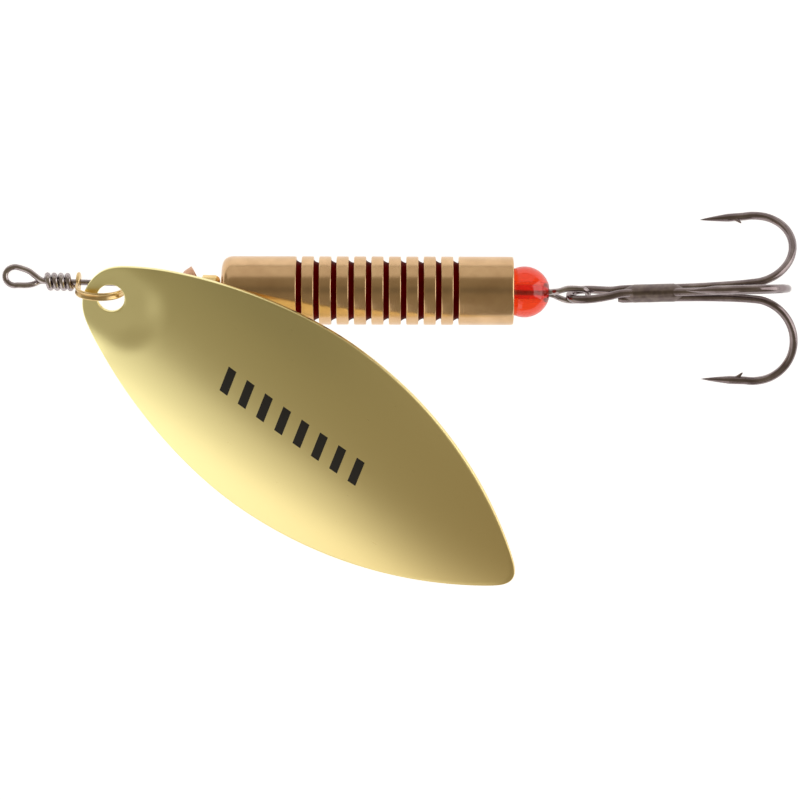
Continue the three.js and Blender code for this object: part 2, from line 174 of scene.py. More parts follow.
# ---------------------------------------------------------------------------------------------------
# Surfaces
# ---------------------------------------------------------------------------------------------------


def grid_faces(rows, columns, rows_close=False):
    """Quads between neighbouring points of a grid whose columns close on themselves."""
    i = np.arange(rows if rows_close else rows - 1)[:, None]
    j = np.arange(columns)[None, :]
    below = (i + 1) % rows
    beside = (j + 1) % columns
    quads = [i * columns + j, i * columns + beside, below * columns + beside, below * columns + j]
    return np.stack([np.broadcast_to(q, np.broadcast(i, j).shape) for q in quads], -1).reshape(-1, 4)


def tube(rings):
    """A closed surface through rings of points, with a point in the middle of each end."""
    rows, columns = rings.shape[:2]
    points = np.concatenate([rings.reshape(-1, 3), rings[[0, -1]].mean(1)])
    j = np.arange(columns)
    beside = (j + 1) % columns
    last = (rows - 1) * columns
    front = np.stack([beside, j, np.full(columns, rows * columns)], 1)
    rear = np.stack([last + j, last + beside, np.full(columns, rows * columns + 1)], 1)
    return points, [*grid_faces(rows, columns).tolist(), *front.tolist(), *rear.tolist()]


def torus(rings):
    """A closed surface through rings of points, whose last ring joins the first."""
    rows, columns = rings.shape[:2]
    return rings.reshape(-1, 3), grid_faces(rows, columns, rows_close=True).tolist()


def together(*shells):
    """Several closed surfaces as one list of points and faces."""
    points, faces, start = [], [], 0
    for shell_points, shell_faces in shells:
        points.append(shell_points)
        faces += [[start + k for k in face] for face in shell_faces]
        start += len(shell_points)
    return np.concatenate(points), faces


def outward(points, faces):
    """The same faces turned to point outwards: a shell whose volume comes out negative is reversed."""
    first = np.array([face[:3] for face in faces])
    quads = np.array([[face[0], face[2], face[-1]] for face in faces])
    volume = 0.0
    for corners in (first, quads):
        a, b, c = points[corners[:, 0]], points[corners[:, 1]], points[corners[:, 2]]
        volume += np.einsum("ij,ij->i", a, np.cross(b, c)).sum()
    return [face[::-1] for face in faces] if volume < 0 else faces


def smooth_path(points, steps):
    """A curve through points, steps to each: cubic pieces whose knots are the square roots of the gaps."""
    p = np.array(points, float)
    p = np.concatenate([2 * p[:1] - p[1:2], p, 2 * p[-1:] - p[-2:-1]])
    gap = np.sqrt(np.linalg.norm(np.diff(p, axis=0), axis=1))[:, None]
    a, b, c, d = p[:-3], p[1:-2], p[2:-1], p[3:]
    g0, g1, g2 = gap[:-2], gap[1:-1], gap[2:]
    leave = ((b - a) / g0 - (c - a) / (g0 + g1) + (c - b) / g1) * g1
    arrive = ((c - b) / g1 - (d - b) / (g1 + g2) + (d - c) / g2) * g1
    t = (np.arange(steps) / steps)[None, :, None]
    b, c, leave, arrive = b[:, None], c[:, None], leave[:, None], arrive[:, None]
    curve = (2 * t**3 - 3 * t**2 + 1) * b + (t**3 - 2 * t**2 + t) * leave
    curve = curve + (3 * t**2 - 2 * t**3) * c + (t**3 - t**2) * arrive
    return np.concatenate([curve.reshape(-1, 3), p[-2:-1]])


def carried_frames(path):
    """Two unit directions across a path at each point, carried along it without twisting about it."""
    tangents = np.gradient(path, axis=0)
    tangents /= np.linalg.norm(tangents, axis=1)[:, None]
    side = np.cross(tangents[0], (0.3, 0.2, 1.0))
    sides = []
    for tangent in tangents:
        side = side - tangent * side.dot(tangent)
        side = side / np.linalg.norm(side)
        sides.append(side)
    sides = np.array(sides)
    return sides, np.cross(tangents, sides)


def swept(path, radii, sides=20):
    """A round bar: at each point of a path stands a circle across it, of the radius given there."""
    one, other = carried_frames(path)
    angle = np.arange(sides) / sides * TURN
    circle = np.cos(angle)[None, :, None] * one[:, None] + np.sin(angle)[None, :, None] * other[:, None]
    return path[:, None] + np.asarray(radii)[:, None, None] * circle


def rounded_ends(path, radius, rings=5):
    """Radii along a path that is one thickness, with both ends rounded over as a cut wire's are."""
    radii = np.full(len(path), float(radius))
    fall = np.sqrt(1 - np.linspace(1, 0.15, rings) ** 2)
    radii[:rings] *= 0.55 + 0.45 * fall
    radii[-rings:] *= (0.55 + 0.45 * fall)[::-1]
    return radii


def filleted(corners, steps=5):
    """A closed profile with rounded corners, each [x, radius, fillet]: a quadratic arc that starts and
    ends a fillet's length away from the corner, along its two sides."""
    corners = np.array(corners, float)
    p, fillet = corners[:, :2], corners[:, 2:]
    back, ahead = np.roll(p, 1, 0) - p, np.roll(p, -1, 0) - p
    back_length = np.linalg.norm(back, axis=1)[:, None]
    ahead_length = np.linalg.norm(ahead, axis=1)[:, None]
    start = p + back / back_length * np.minimum(fillet, 0.48 * back_length)
    end = p + ahead / ahead_length * np.minimum(fillet, 0.48 * ahead_length)
    t = np.linspace(0, 1, steps)[None, :, None]
    arcs = (1 - t) ** 2 * start[:, None] + 2 * t * (1 - t) * p[:, None] + t**2 * end[:, None]
    arcs = arcs.reshape(-1, 2)
    return arcs[np.linalg.norm(arcs - np.roll(arcs, 1, 0), axis=1) > 1e-4]


def turned(profile, sides=128):
    """A turned ring about the X axis from its closed profile of [x, radius]."""
    profile = np.array(profile, float)
    angle = np.arange(sides) / sides * TURN
    x = np.broadcast_to(profile[:, :1], (len(profile), sides))
    return np.stack([x, profile[:, 1:] * np.cos(angle), profile[:, 1:] * np.sin(angle)], -1)


def arc(x, r, radius, start, end, steps):
    """Profile points of an arc about (x, r), at angles from +X towards outside, in degrees."""
    angle = np.radians(np.linspace(start, end, steps))
    return np.stack([x + radius * np.cos(angle), r + radius * np.sin(angle)], 1)


def turn_z(points, angle, place):
    """The points turned about Z and then moved to a place."""
    c, s = math.cos(angle), math.sin(angle)
    turn = np.array([[c, s, 0], [-s, c, 0], [0, 0, 1]])
    return points @ turn + np.array(place)


def make(name, shell, material, body, nodes, sharp=None, uv=None):
    """One finished piece: its mesh in metres, its finish, the body it rides on and what it replaces."""
    points, faces = shell
    mesh = bpy.data.meshes.new(name)
    mesh.from_pydata((points * MM).tolist(), [], outward(points, faces))
    if uv is not None:
        corner_points = np.empty(len(mesh.loops), np.int32)
        mesh.loops.foreach_get("vertex_index", corner_points)
        layer = mesh.uv_layers.new(name="leaf")
        layer.data.foreach_set("uv", uv[corner_points].astype(np.float32).ravel())
    mesh.shade_smooth()
    if sharp:
        mesh.set_sharp_from_angle(angle=math.radians(sharp))
    mesh.materials.append(material)
    piece = bpy.data.objects.new(name, mesh)
    bpy.context.scene.collection.objects.link(piece)
    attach(piece, body)
    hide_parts(*nodes)
    return piece


# ---------------------------------------------------------------------------------------------------
# Finishes
# ---------------------------------------------------------------------------------------------------


def colour(hex_value):
    """A hex sRGB colour as linear red, green, blue and alpha."""
    channels = [int(hex_value[i : i + 2], 16) / 255 for i in (1, 3, 5)]
    linear = [c / 12.92 if c <= 0.04045 else ((c + 0.055) / 1.055) ** 2.4 for c in channels]
    return (*linear, 1.0)


def node_adder(tree):
    """The one function that adds a node to a tree."""

    def add(kind, inputs=None, **settings):
        """A node with its settings. An input is given a value, or another node's output to link."""
        node = tree.nodes.new(kind)
        for key, value in settings.items():
            setattr(node, key, value)
        for key, value in (inputs or {}).items():
            if isinstance(value, bpy.types.NodeSocket):
                tree.links.new(value, node.inputs[key])
            else:
                node.inputs[key].default_value = value
        return node

    return add


def finish(name):
    """A new material, with the function that adds a node to it, its surface shader and its links."""
    material = bpy.data.materials.new(name)
    material.use_nodes = True
    tree = material.node_tree
    tree.nodes.clear()
    add = node_adder(tree)
    surface = add("ShaderNodeBsdfPrincipled")
    add("ShaderNodeOutputMaterial", {"Surface": surface.outputs[0]})
    return material, add, surface, tree.links


def ramp(add, factor, stops):
    """A colour ramp over a factor. Each stop is (place, colour)."""
    node = add("ShaderNodeValToRGB", {"Fac": factor})
    elements = node.color_ramp.elements
    while len(elements) < len(stops):
        elements.new(0.5)
    for element, (place, value) in zip(elements, stops):
        element.position = place
        element.color = value
    return node.outputs["Color"]


def per_metre(millimetres):
    """The scale that makes one period of a pattern this long on Object coordinates."""
    return 1000.0 / millimetres


def drawn_steel():
    """Stainless spring wire, drawn through a die: grey with a warm pink-brown cast, satin along its
    length, with faint blotches of handling on it."""
    material, add, surface, links = finish("drawn_stainless_wire")
    place = add("ShaderNodeTexCoord").outputs["Object"]
    blotches = add("ShaderNodeTexNoise", {"Vector": place, "Scale": per_metre(1.6), "Detail": 3.0})
    tone = ramp(
        add,
        blotches.outputs["Fac"],
        [(0.3, colour("#94898a")), (0.55, colour("#ada2a3")), (0.75, colour("#c4bbba"))],
    )
    links.new(tone, surface.inputs["Base Color"])
    rough = add(
        "ShaderNodeMapRange",
        {"Value": blotches.outputs["Fac"], "To Min": 0.12, "To Max": 0.24},
    )
    links.new(rough.outputs[0], surface.inputs["Roughness"])
    grain = add("ShaderNodeTexNoise", {"Vector": place, "Scale": per_metre(0.12), "Detail": 2.0})
    bump = add(
        "ShaderNodeBump",
        {"Height": grain.outputs["Fac"], "Strength": 0.12, "Distance": 0.02 * MM},
    )
    links.new(bump.outputs[0], surface.inputs["Normal"])
    surface.inputs["Metallic"].default_value = 1.0
    return material


def bronzed_hook():
    """High-carbon hook wire, chemically bronzed: dark brown-grey with a rosy sheen where it shines,
    a little mottled where the bath took unevenly."""
    material, add, surface, links = finish("bronzed_hook_wire")
    place = add("ShaderNodeTexCoord").outputs["Object"]
    blotches = add("ShaderNodeTexNoise", {"Vector": place, "Scale": per_metre(2.4), "Detail": 4.0})
    tone = ramp(
        add,
        blotches.outputs["Fac"],
        [(0.3, colour("#76696a")), (0.52, colour("#8c7f80")), (0.75, colour("#a69a9a"))],
    )
    links.new(tone, surface.inputs["Base Color"])
    rough = add(
        "ShaderNodeMapRange",
        {"Value": blotches.outputs["Fac"], "To Min": 0.12, "To Max": 0.24},
    )
    links.new(rough.outputs[0], surface.inputs["Roughness"])
    grain = add("ShaderNodeTexNoise", {"Vector": place, "Scale": per_metre(0.18), "Detail": 2.0})
    bump = add(
        "ShaderNodeBump",
        {"Height": grain.outputs["Fac"], "Strength": 0.15, "Distance": 0.02 * MM},
    )
    links.new(bump.outputs[0], surface.inputs["Normal"])
    surface.inputs["Metallic"].default_value = 1.0
    return material


def brazing_metal():
    """Silver-brass brazing metal, left as it froze: dull brown-grey, pitted, rougher than the wire."""
    material, add, surface, links = finish("brazing_metal")
    place = add("ShaderNodeTexCoord").outputs["Object"]
    pits = add("ShaderNodeTexNoise", {"Vector": place, "Scale": per_metre(0.7), "Detail": 5.0})
    tone = ramp(add, pits.outputs["Fac"], [(0.35, colour("#6c5f5e")), (0.7, colour("#83766f"))])
    links.new(tone, surface.inputs["Base Color"])
    bump = add(
        "ShaderNodeBump",
        {"Height": pits.outputs["Fac"], "Strength": 0.3, "Distance": 0.05 * MM},
    )
    links.new(bump.outputs[0], surface.inputs["Normal"])
    surface.inputs["Metallic"].default_value = 1.0
    surface.inputs["Roughness"].default_value = 0.34
    return material


def plated_blade():
    """Brass sheet, polished, plated pale gold and clear-lacquered: cream where it is lit, olive brown
    where it is not. The sheet keeps a faint wave and fine polishing scratches along the leaf, and it
    carries a row of plain black printed bars along its middle."""
    material, add, surface, links = finish("gold_plated_blade")
    leaf = add("ShaderNodeUVMap", uv_map="leaf").outputs["UV"]
    place = add("ShaderNodeTexCoord").outputs["Object"]
    wave = add("ShaderNodeTexNoise", {"Vector": place, "Scale": per_metre(14.0), "Detail": 1.0})
    axes = add("ShaderNodeSeparateXYZ", {"Vector": leaf})
    u, v = axes.outputs["X"], axes.outputs["Y"]
    along_leaf = add(
        "ShaderNodeMapRange",
        {"Value": u, "From Min": -3.0, "From Max": 57.0, "To Min": 0.0, "To Max": 0.85},
    )
    tone = ramp(add, along_leaf.outputs[0], [(0.0, colour("#fff6b6")), (1.0, colour("#e6cb8b"))])
    along = add("ShaderNodeMapping", {"Vector": leaf, "Scale": (0.06, 1.0, 1.0)})
    scratches = add(
        "ShaderNodeTexNoise",
        {"Vector": along.outputs[0], "Scale": 9.0, "Detail": 4.0, "Roughness": 0.7},
    )
    rough = add(
        "ShaderNodeMapRange",
        {"Value": scratches.outputs["Fac"], "To Min": 0.24, "To Max": 0.36},
    )
    # The printed bars: each is PRINT_BAR long in every PRINT_PITCH along the leaf.

    def arithmetic(operation, *values):
        node = add("ShaderNodeMath", operation=operation)
        for socket, value in zip(node.inputs, values):
            if isinstance(value, bpy.types.NodeSocket):
                links.new(value, socket)
            else:
                socket.default_value = value
        return node.outputs[0]

    lean = arithmetic("MULTIPLY_ADD", v, PRINT_LEAN, u)
    counted = arithmetic("DIVIDE", arithmetic("SUBTRACT", lean, PRINT_START), PRINT_PITCH)
    within = arithmetic("LESS_THAN", arithmetic("FRACT", counted), PRINT_BAR / PRINT_PITCH)
    begun = arithmetic("GREATER_THAN", counted, 0.0)
    left = arithmetic("LESS_THAN", counted, float(PRINT_BARS))
    beside = arithmetic("ABSOLUTE", arithmetic("SUBTRACT", v, PRINT_MIDDLE))
    tall = arithmetic("LESS_THAN", beside, PRINT_HALF_HEIGHT)
    in_bar = arithmetic("MULTIPLY", within, tall)
    in_row = arithmetic("MULTIPLY", begun, left)
    print_mask = arithmetic("MULTIPLY", in_bar, in_row)
    inked = add(
        "ShaderNodeMix",
        {"Factor": print_mask, "A": tone, "B": colour("#141008")},
        data_type="RGBA",
    )
    links.new(inked.outputs["Result"], surface.inputs["Base Color"])
    metal = arithmetic("SUBTRACT", 1.0, print_mask)
    links.new(metal, surface.inputs["Metallic"])
    ink_rough = arithmetic("MULTIPLY_ADD", print_mask, 0.2, rough.outputs[0])
    links.new(ink_rough, surface.inputs["Roughness"])
    bump = add(
        "ShaderNodeBump",
        {"Height": scratches.outputs["Fac"], "Strength": 0.04, "Distance": 0.02 * MM},
    )
    sheet_wave = add(
        "ShaderNodeBump",
        {
            "Height": wave.outputs["Fac"],
            "Strength": 0.25,
            "Distance": 0.12 * MM,
            "Normal": bump.outputs[0],
        },
    )
    links.new(sheet_wave.outputs[0], surface.inputs["Normal"])
    return material


def brass(name, tint, deep, blemish_mm, low, high, turning_mm=None):
    """Brass in one of its states. Its colour runs from deep to tint in soft blotches, its roughness from
    low to high with them. Turned brass also has fine rings across the X axis, left by the tool."""
    material, add, surface, links = finish(name)
    place = add("ShaderNodeTexCoord").outputs["Object"]
    blotches = add(
        "ShaderNodeTexNoise",
        {"Vector": place, "Scale": per_metre(blemish_mm), "Detail": 4.0, "Roughness": 0.6},
    )
    tone = ramp(add, blotches.outputs["Fac"], [(0.32, colour(deep)), (0.68, colour(tint))])
    links.new(tone, surface.inputs["Base Color"])
    rough = add(
        "ShaderNodeMapRange",
        {"Value": blotches.outputs["Fac"], "To Min": high, "To Max": low},
    )
    links.new(rough.outputs[0], surface.inputs["Roughness"])
    height = blotches.outputs["Fac"]
    if turning_mm:
        squeeze = add("ShaderNodeMapping", {"Vector": place, "Scale": (1.0, 0.02, 0.02)})
        rings = add(
            "ShaderNodeTexNoise",
            {
                "Vector": squeeze.outputs[0],
                "Scale": per_metre(turning_mm),
                "Detail": 5.0,
                "Roughness": 0.7,
            },
        )
        height = rings.outputs["Fac"]
    bump = add("ShaderNodeBump", {"Height": height, "Strength": 0.35, "Distance": 0.02 * MM})
    links.new(bump.outputs[0], surface.inputs["Normal"])
    surface.inputs["Metallic"].default_value = 1.0
    return material


def groove_lacquer_finish():
    """Dark red lacquer run into the grooves and left to level: satin, and deep enough to look almost
    black where it pools."""
    material, add, surface, links = finish("dark_red_lacquer")
    place = add("ShaderNodeTexCoord").outputs["Object"]
    pools = add("ShaderNodeTexNoise", {"Vector": place, "Scale": per_metre(1.2), "Detail": 2.0})
    tone = ramp(add, pools.outputs["Fac"], [(0.3, colour("#5e0000")), (0.7, colour("#740002"))])
    links.new(tone, surface.inputs["Base Color"])
    bump = add(
        "ShaderNodeBump",
        {"Height": pools.outputs["Fac"], "Strength": 0.3, "Distance": 0.04 * MM},
    )
    links.new(bump.outputs[0], surface.inputs["Normal"])
    surface.inputs["Roughness"].default_value = 0.45
    surface.inputs["Specular IOR Level"].default_value = 0.02
    return material


def red_polystyrene():
    """Clear red polystyrene, moulded: light passes through it, so it glows orange-red, and the wire
    inside shows dark. Its skin is glossy with a trace of flow marks."""
    material, add, surface, links = finish("clear_red_polystyrene")
    place = add("ShaderNodeTexCoord").outputs["Object"]
    flow = add("ShaderNodeTexNoise", {"Vector": place, "Scale": per_metre(3.0), "Detail": 2.0})
    tone = ramp(add, flow.outputs["Fac"], [(0.3, colour("#f5330c")), (0.7, colour("#ff4a18"))])
    links.new(tone, surface.inputs["Base Color"])
    bump = add(
        "ShaderNodeBump",
        {"Height": flow.outputs["Fac"], "Strength": 0.12, "Distance": 0.05 * MM},
    )
    links.new(bump.outputs[0], surface.inputs["Normal"])
    surface.inputs["Roughness"].default_value = 0.06
    surface.inputs["IOR"].default_value = 1.59
    surface.inputs["Transmission Weight"].default_value = 0.85
    return material


STEEL = drawn_steel()
HOOK_STEEL = bronzed_hook()
BRAZE = brazing_metal()
BLADE_GOLD = plated_blade()
TURNED_BRASS = brass("turned_brass_bar", "#dfba8e", "#d2ac81", 2.2, 0.19, 0.27, turning_mm=0.16)
STRAP_BRASS = brass("pressed_brass_strap", "#ecd09a", "#d2b078", 1.5, 0.24, 0.36)
BEAD_BRASS = brass("polished_brass_bead", "#f7dca0", "#e6c27c", 1.2, 0.12, 0.24)
COPPER = brass("dull_copper_sheet", "#e0b394", "#bd8a6a", 1.0, 0.26, 0.42)
LACQUER = groove_lacquer_finish()
RED_PLASTIC = red_polystyrene()

# ---------------------------------------------------------------------------------------------------
# Shaft wire
# ---------------------------------------------------------------------------------------------------


def around(x, radius, angle):
    """A point at a distance from the shaft's axis, turned from +Y towards +Z."""
    return (x, radius * math.cos(angle), radius * math.sin(angle))


def shaft_points():
    """The wire's middle line: from the tag end inside the red bead, round the rear loop, along the
    shaft, round the line-tie eye and back in wraps."""
    w = REAR_LOOP_HALF_WIDTH
    rear = [
        (60.2, 0.08, STRAND_OFFSET),
        (61.4, 0.12, STRAND_OFFSET),
        (62.4, 0.26, 0.42),
        around(63.1, 0.9, REAR_NECK_TILT),
        around(64.1, w, REAR_LOOP_TILT),
    ]
    for angle in np.radians(np.arange(90, -91, -22.5)):
        x = REAR_LOOP_END_X - w + w * math.cos(angle)
        rear.append(around(x, w * math.sin(angle), REAR_LOOP_TILT))
    rear += [
        around(64.1, -w, REAR_LOOP_TILT),
        around(63.1, -0.9, REAR_NECK_TILT),
        (62.4, -0.08, -0.42),
        (61.4, 0.06, -STRAND_OFFSET),
        (58.5, 0.08, -STRAND_OFFSET),
        (57.2, 0.08, -STRAND_OFFSET),
        (56.2, 0.03, -0.12),
        (55.2, 0, 0),
        (54.2, 0, 0),
        (40, 0, 0),
        (20, 0, 0),
    ]
    eye = [
        (5.2, 0, 0),
        (4.2, 0, 0),
        (3.4, 0.01, 0),
        (2.7, 0.16, 0.02),
        (2.0, 0.62, 0.05),
        (1.25, 1.15, 0.05),
    ]
    for angle in np.radians(np.arange(75, 286, 21)):
        x = EYE_CENTRE[0] + EYE_STRETCH * EYE_RADIUS * math.cos(angle)
        eye.append((x, EYE_CENTRE[1] + EYE_RADIUS * math.sin(angle), 0))
    eye += [(1.0, -0.5, -0.12), (1.8, -0.32, -0.38), (2.4, 0.0, -0.66)]
    steps = 14
    for i in range(-3, int(WRAP_TURNS * steps) + 1):
        turn = i / steps
        eye.append(around(WRAP_START_X + WRAP_PITCH * turn, WRAP_RADIUS, TURN * turn))
    return rear + eye


wire_path = smooth_path(shaft_points(), 8)
make(
    "shaft_wire_drawn",
    tube(swept(wire_path, rounded_ends(wire_path, WIRE_RADIUS), sides=22)),
    STEEL,
    "shaft",
    ["shaft_wire"],
)

# ---------------------------------------------------------------------------------------------------
# Clevis
# ---------------------------------------------------------------------------------------------------


def clevis_shell():
    """A strap carried round a U, and an ear on each leg. The strap's section is a rounded oblong whose
    outer face dips in the middle, which leaves two ridges along its edges. All of it is drawn with X
    along the shaft and Y up the bow, and then leaned over about the shaft."""
    middle = (CLEVIS_FRONT_X + CLEVIS_REAR_X) / 2
    bow = (CLEVIS_REAR_X - CLEVIS_FRONT_X) / 2
    spring = CLEVIS_HEIGHT - bow
    angle = np.linspace(math.pi, 0, 72)
    leg = np.linspace(CLEVIS_LEG_END, spring, 14)[:-1]
    x = np.concatenate([np.full(13, middle - bow), middle + bow * np.cos(angle), np.full(13, middle + bow)])
    y = np.concatenate([leg, spring + bow * np.sin(angle), leg[::-1]])
    out_x = np.concatenate([np.full(13, -1.0), np.cos(angle), np.full(13, 1.0)])
    out_y = np.concatenate([np.zeros(13), np.sin(angle), np.zeros(13)])
    around_section = np.arange(36) / 36 * TURN
    c, s = np.cos(around_section), np.sin(around_section)
    wide = CLEVIS_HALF_WIDTH * np.sign(c) * np.abs(c) ** 0.6
    thick = CLEVIS_HALF_THICKNESS * np.sign(s) * np.abs(s) ** 0.5
    valley = 0.2 * np.exp(-((wide / 0.2) ** 2)) * (s > 0)
    thick = thick - valley * np.clip(s * 2, 0, 1)
    rings = np.stack(
        [
            x[:, None] + out_x[:, None] * thick,
            y[:, None] + out_y[:, None] * thick,
            np.broadcast_to(wide, (len(x), 36)),
        ],
        -1,
    )
    shells = [tube(rings)]
    for ear_x in (CLEVIS_FRONT_X, CLEVIS_REAR_X):
        half = EAR_THICKNESS / 2
        profile = filleted(
            [
                [-half, EAR_BORE, 0.08],
                [-half, EAR_RADIUS * 0.8, 0.12],
                [-half * 0.55, EAR_RADIUS, 0.1],
                [half * 0.55, EAR_RADIUS, 0.1],
                [half, EAR_RADIUS * 0.8, 0.12],
                [half, EAR_BORE, 0.08],
            ]
        )
        ear = turned(profile, 64)
        squash = np.where(profile[:, 1:] > EAR_BORE + 0.02, EAR_SQUASH, 1.0)
        ear[..., 2] *= squash
        ear[..., 0] += ear_x
        shells.append(torus(ear))
    points, faces = together(*shells)
    lean = math.pi / 2 + CLEVIS_TILT
    c, s = math.cos(lean), math.sin(lean)
    return points @ np.array([[1, 0, 0], [0, c, s], [0, -s, c]]), faces


make("clevis_strap", clevis_shell(), STRAP_BRASS, "clevis", ["clevis"], sharp=50)

# ---------------------------------------------------------------------------------------------------
# Blade
# ---------------------------------------------------------------------------------------------------


def leaf_outline(steps):
    """The leaf's outline on one side, [distance from the hole, half-width], as cubic Bezier curves."""
    t = np.linspace(0, 1, steps)[:, None]
    parts = []
    for a, b, c, d in np.array(LEAF_CURVES, float):
        parts.append((1 - t) ** 3 * a + 3 * t * (1 - t) ** 2 * b + 3 * t**2 * (1 - t) * c + t**3 * d)
    return np.concatenate([parts[0], *[part[1:] for part in parts[1:]]])


def even(points, count):
    """The same open line with its points evenly spaced along it."""
    length = np.concatenate([[0], np.cumsum(np.linalg.norm(np.diff(points, axis=0), axis=1))])
    at = np.linspace(0, length[-1], count)
    return np.stack([np.interp(at, length, points[:, k]) for k in range(points.shape[1])], 1)


def blade_height(u, v, half_width):
    """Height of the sheet's middle above the rim's plane. The dish rises with the square of the
    half-width less the square of the distance from the middle. A flat pad lies round the hole and
    melts into the dish, more softly than on the plain part, as polishing leaves it."""
    dish = BLADE_DISH * (half_width**2 - v**2)
    pad = BLADE_DISH * PAD_HALF_WIDTH**2
    away = np.clip((np.hypot(u, v) - PAD_RADIUS) / PAD_BLEND, 0, 1)
    return pad + (dish - pad) * away**3 * (10 - 15 * away + 6 * away**2)


def blade_shell():
    """The sheet as a ring: each of its sections runs from the hole's wall out over the top to the
    rolled edge, and back below. The sections fan out from the hole to points evenly spaced along the
    outline, and the edge is rounded as a half ellipse."""
    side = even(leaf_outline(120), 260)
    outline = np.concatenate([side, side[-2:0:-1] * (1, -1)])
    direction = outline / np.linalg.norm(outline, axis=1)[:, None]
    half = BLADE_THICKNESS / 2
    # Along a section: the share of the way from the hole to the outline, how far it stands in from the
    # outline and out from the hole's wall, and its height over the sheet's middle.
    edge = np.radians(np.linspace(90, -90, 9))
    edge_in = EDGE_ROLL * (1 - np.cos(edge))
    edge_up = half * np.sin(edge)
    hole = np.radians(np.linspace(-90, 90, 7))
    hole_in = HOLE_ROLL * (1 - np.cos(hole))
    hole_up = half * np.sign(np.sin(hole)) * np.abs(np.sin(hole)) ** 0.6
    face = np.linspace(0, 1, 90)[1:-1] ** 1.1
    at_hole, at_edge, between = np.zeros(len(hole)), np.zeros(len(edge)), np.zeros(len(face))
    share = np.concatenate([at_hole, face, at_edge + 1, face[::-1]])
    inset = np.concatenate([at_hole, between, edge_in, between])
    outset = np.concatenate([hole_in, between, at_edge, between])
    up = np.concatenate([hole_up, between + half, edge_up, between - half])
    start = direction * (HOLE_RADIUS + HOLE_ROLL)
    end = outline - direction * EDGE_ROLL
    flat = start[:, None] + (end - start)[:, None] * share[None, :, None]
    flat = flat + direction[:, None] * ((EDGE_ROLL - inset) * (share == 1))[None, :, None]
    flat = flat - direction[:, None] * ((HOLE_ROLL - outset) * (share == 0))[None, :, None]
    u, v = flat[..., 0], flat[..., 1]
    half_width = np.interp(u, side[:, 0], side[:, 1])
    height = blade_height(u, v, np.maximum(half_width, np.abs(v))) + up
    rings = np.stack([u, v, height], -1)
    points, faces = torus(rings)
    uv = points[:, :2].copy()
    slope_x, slope_y = BLADE_SLOPE
    normal = np.array([-slope_x, -slope_y, 1.0])
    normal /= np.linalg.norm(normal)
    seen = np.array([math.cos(BLADE_HEADING), math.sin(BLADE_HEADING)])
    along = np.array([*seen, seen @ BLADE_SLOPE])
    along /= np.linalg.norm(along)
    across = np.cross(normal, along)
    return (points @ np.stack([along, across, normal]) + np.array(BLADE_HOLE), faces), uv


blade, leaf_uv = blade_shell()
make("leaf_blade", blade, BLADE_GOLD, "blade", ["blade"], uv=leaf_uv)

# ---------------------------------------------------------------------------------------------------
# Cup, small bead, body and its lacquer, red bead
# ---------------------------------------------------------------------------------------------------


def cup_shell():
    """A turned cup, mouth to the rear and lip rolled: its wall rounds over to the hole in front."""
    shoulder = 0.9
    r = CUP_MOUTH - 0.1 - shoulder
    corners = [
        [-CUP_DEPTH, CUP_HOLE, 0.06],
        *[[x, y, 0.0] for x, y in arc(-CUP_DEPTH + shoulder, r, shoulder, 180, 90, 12)],
        [0, CUP_MOUTH, 0.1],
        [0, CUP_MOUTH - CUP_WALL, 0.1],
        *[[x, y, 0.0] for x, y in arc(-CUP_DEPTH + shoulder, r, shoulder - CUP_WALL, 90, 180, 12)],
        [-CUP_DEPTH + CUP_WALL, CUP_HOLE, 0.06],
    ]
    points, faces = torus(turned(filleted(corners), 96))
    return turn_z(points, CUP_TILT, (CUP_X, CUP_Y, 0)), faces


def small_bead_shell():
    """A turned bead: a flat front with a small bevel, and a rear that rounds over."""
    edge = 0.7
    corners = [
        [BEAD_FRONT_X, BEAD_BORE, 0.05],
        [BEAD_FRONT_X, BEAD_RADIUS, 0.2],
        *[[x, y, 0.0] for x, y in arc(BEAD_REAR_X - edge, BEAD_RADIUS - edge, edge, 90, 0, 14)],
        [BEAD_REAR_X, BEAD_BORE, 0.05],
    ]
    return torus(turned(filleted(corners), 96))


groove_middles = FIRST_GROOVE + GROOVE_PITCH * np.arange(GROOVES)


def barrel_shell():
    """The turned bar: a slightly conical front face with a rounded chamfer, the grooves with broken
    edges, a rounded rear rim and a ball seat behind, and the bore."""
    seat_x = (RED_BEAD_PLACE[0] - BODY_FRONT[0]) / math.cos(BODY_SKEW)
    mouth = math.degrees(math.acos((BODY_LENGTH - seat_x) / SEAT_RADIUS))
    throat = 180 - math.degrees(math.asin(BODY_BORE / SEAT_RADIUS))
    corners = [
        [0.12, BODY_BORE, 0.12],
        [0.04, 1.9, 0.3],
        [0.1, BODY_FACE_RADIUS, 0.3],
        [0.38, BODY_FACE_RADIUS + 0.6, 0.3],
        [1.0, BODY_RADIUS, 0.45],
    ]
    for middle in groove_middles:
        a, b = middle - GROOVE_WIDTH / 2, middle + GROOVE_WIDTH / 2
        corners += [
            [a, BODY_RADIUS, 0.16],
            [a, LACQUER_FRONT - LACQUER_DEPTH, 0.02],
            [b, LACQUER_REAR - LACQUER_DEPTH, 0.02],
            [b, BODY_RADIUS, 0.16],
        ]
    corners += [[BODY_LENGTH, BODY_RADIUS, 0.3], [BODY_LENGTH, BODY_RADIUS - 0.45, 0.1]]
    corners += [[x, r, 0.0] for x, r in arc(seat_x, 0, SEAT_RADIUS, mouth, throat, 24)]
    points, faces = torus(turned(filleted(corners, 6), 160))
    return turn_z(points, BODY_SKEW, (*BODY_FRONT, 0)), faces


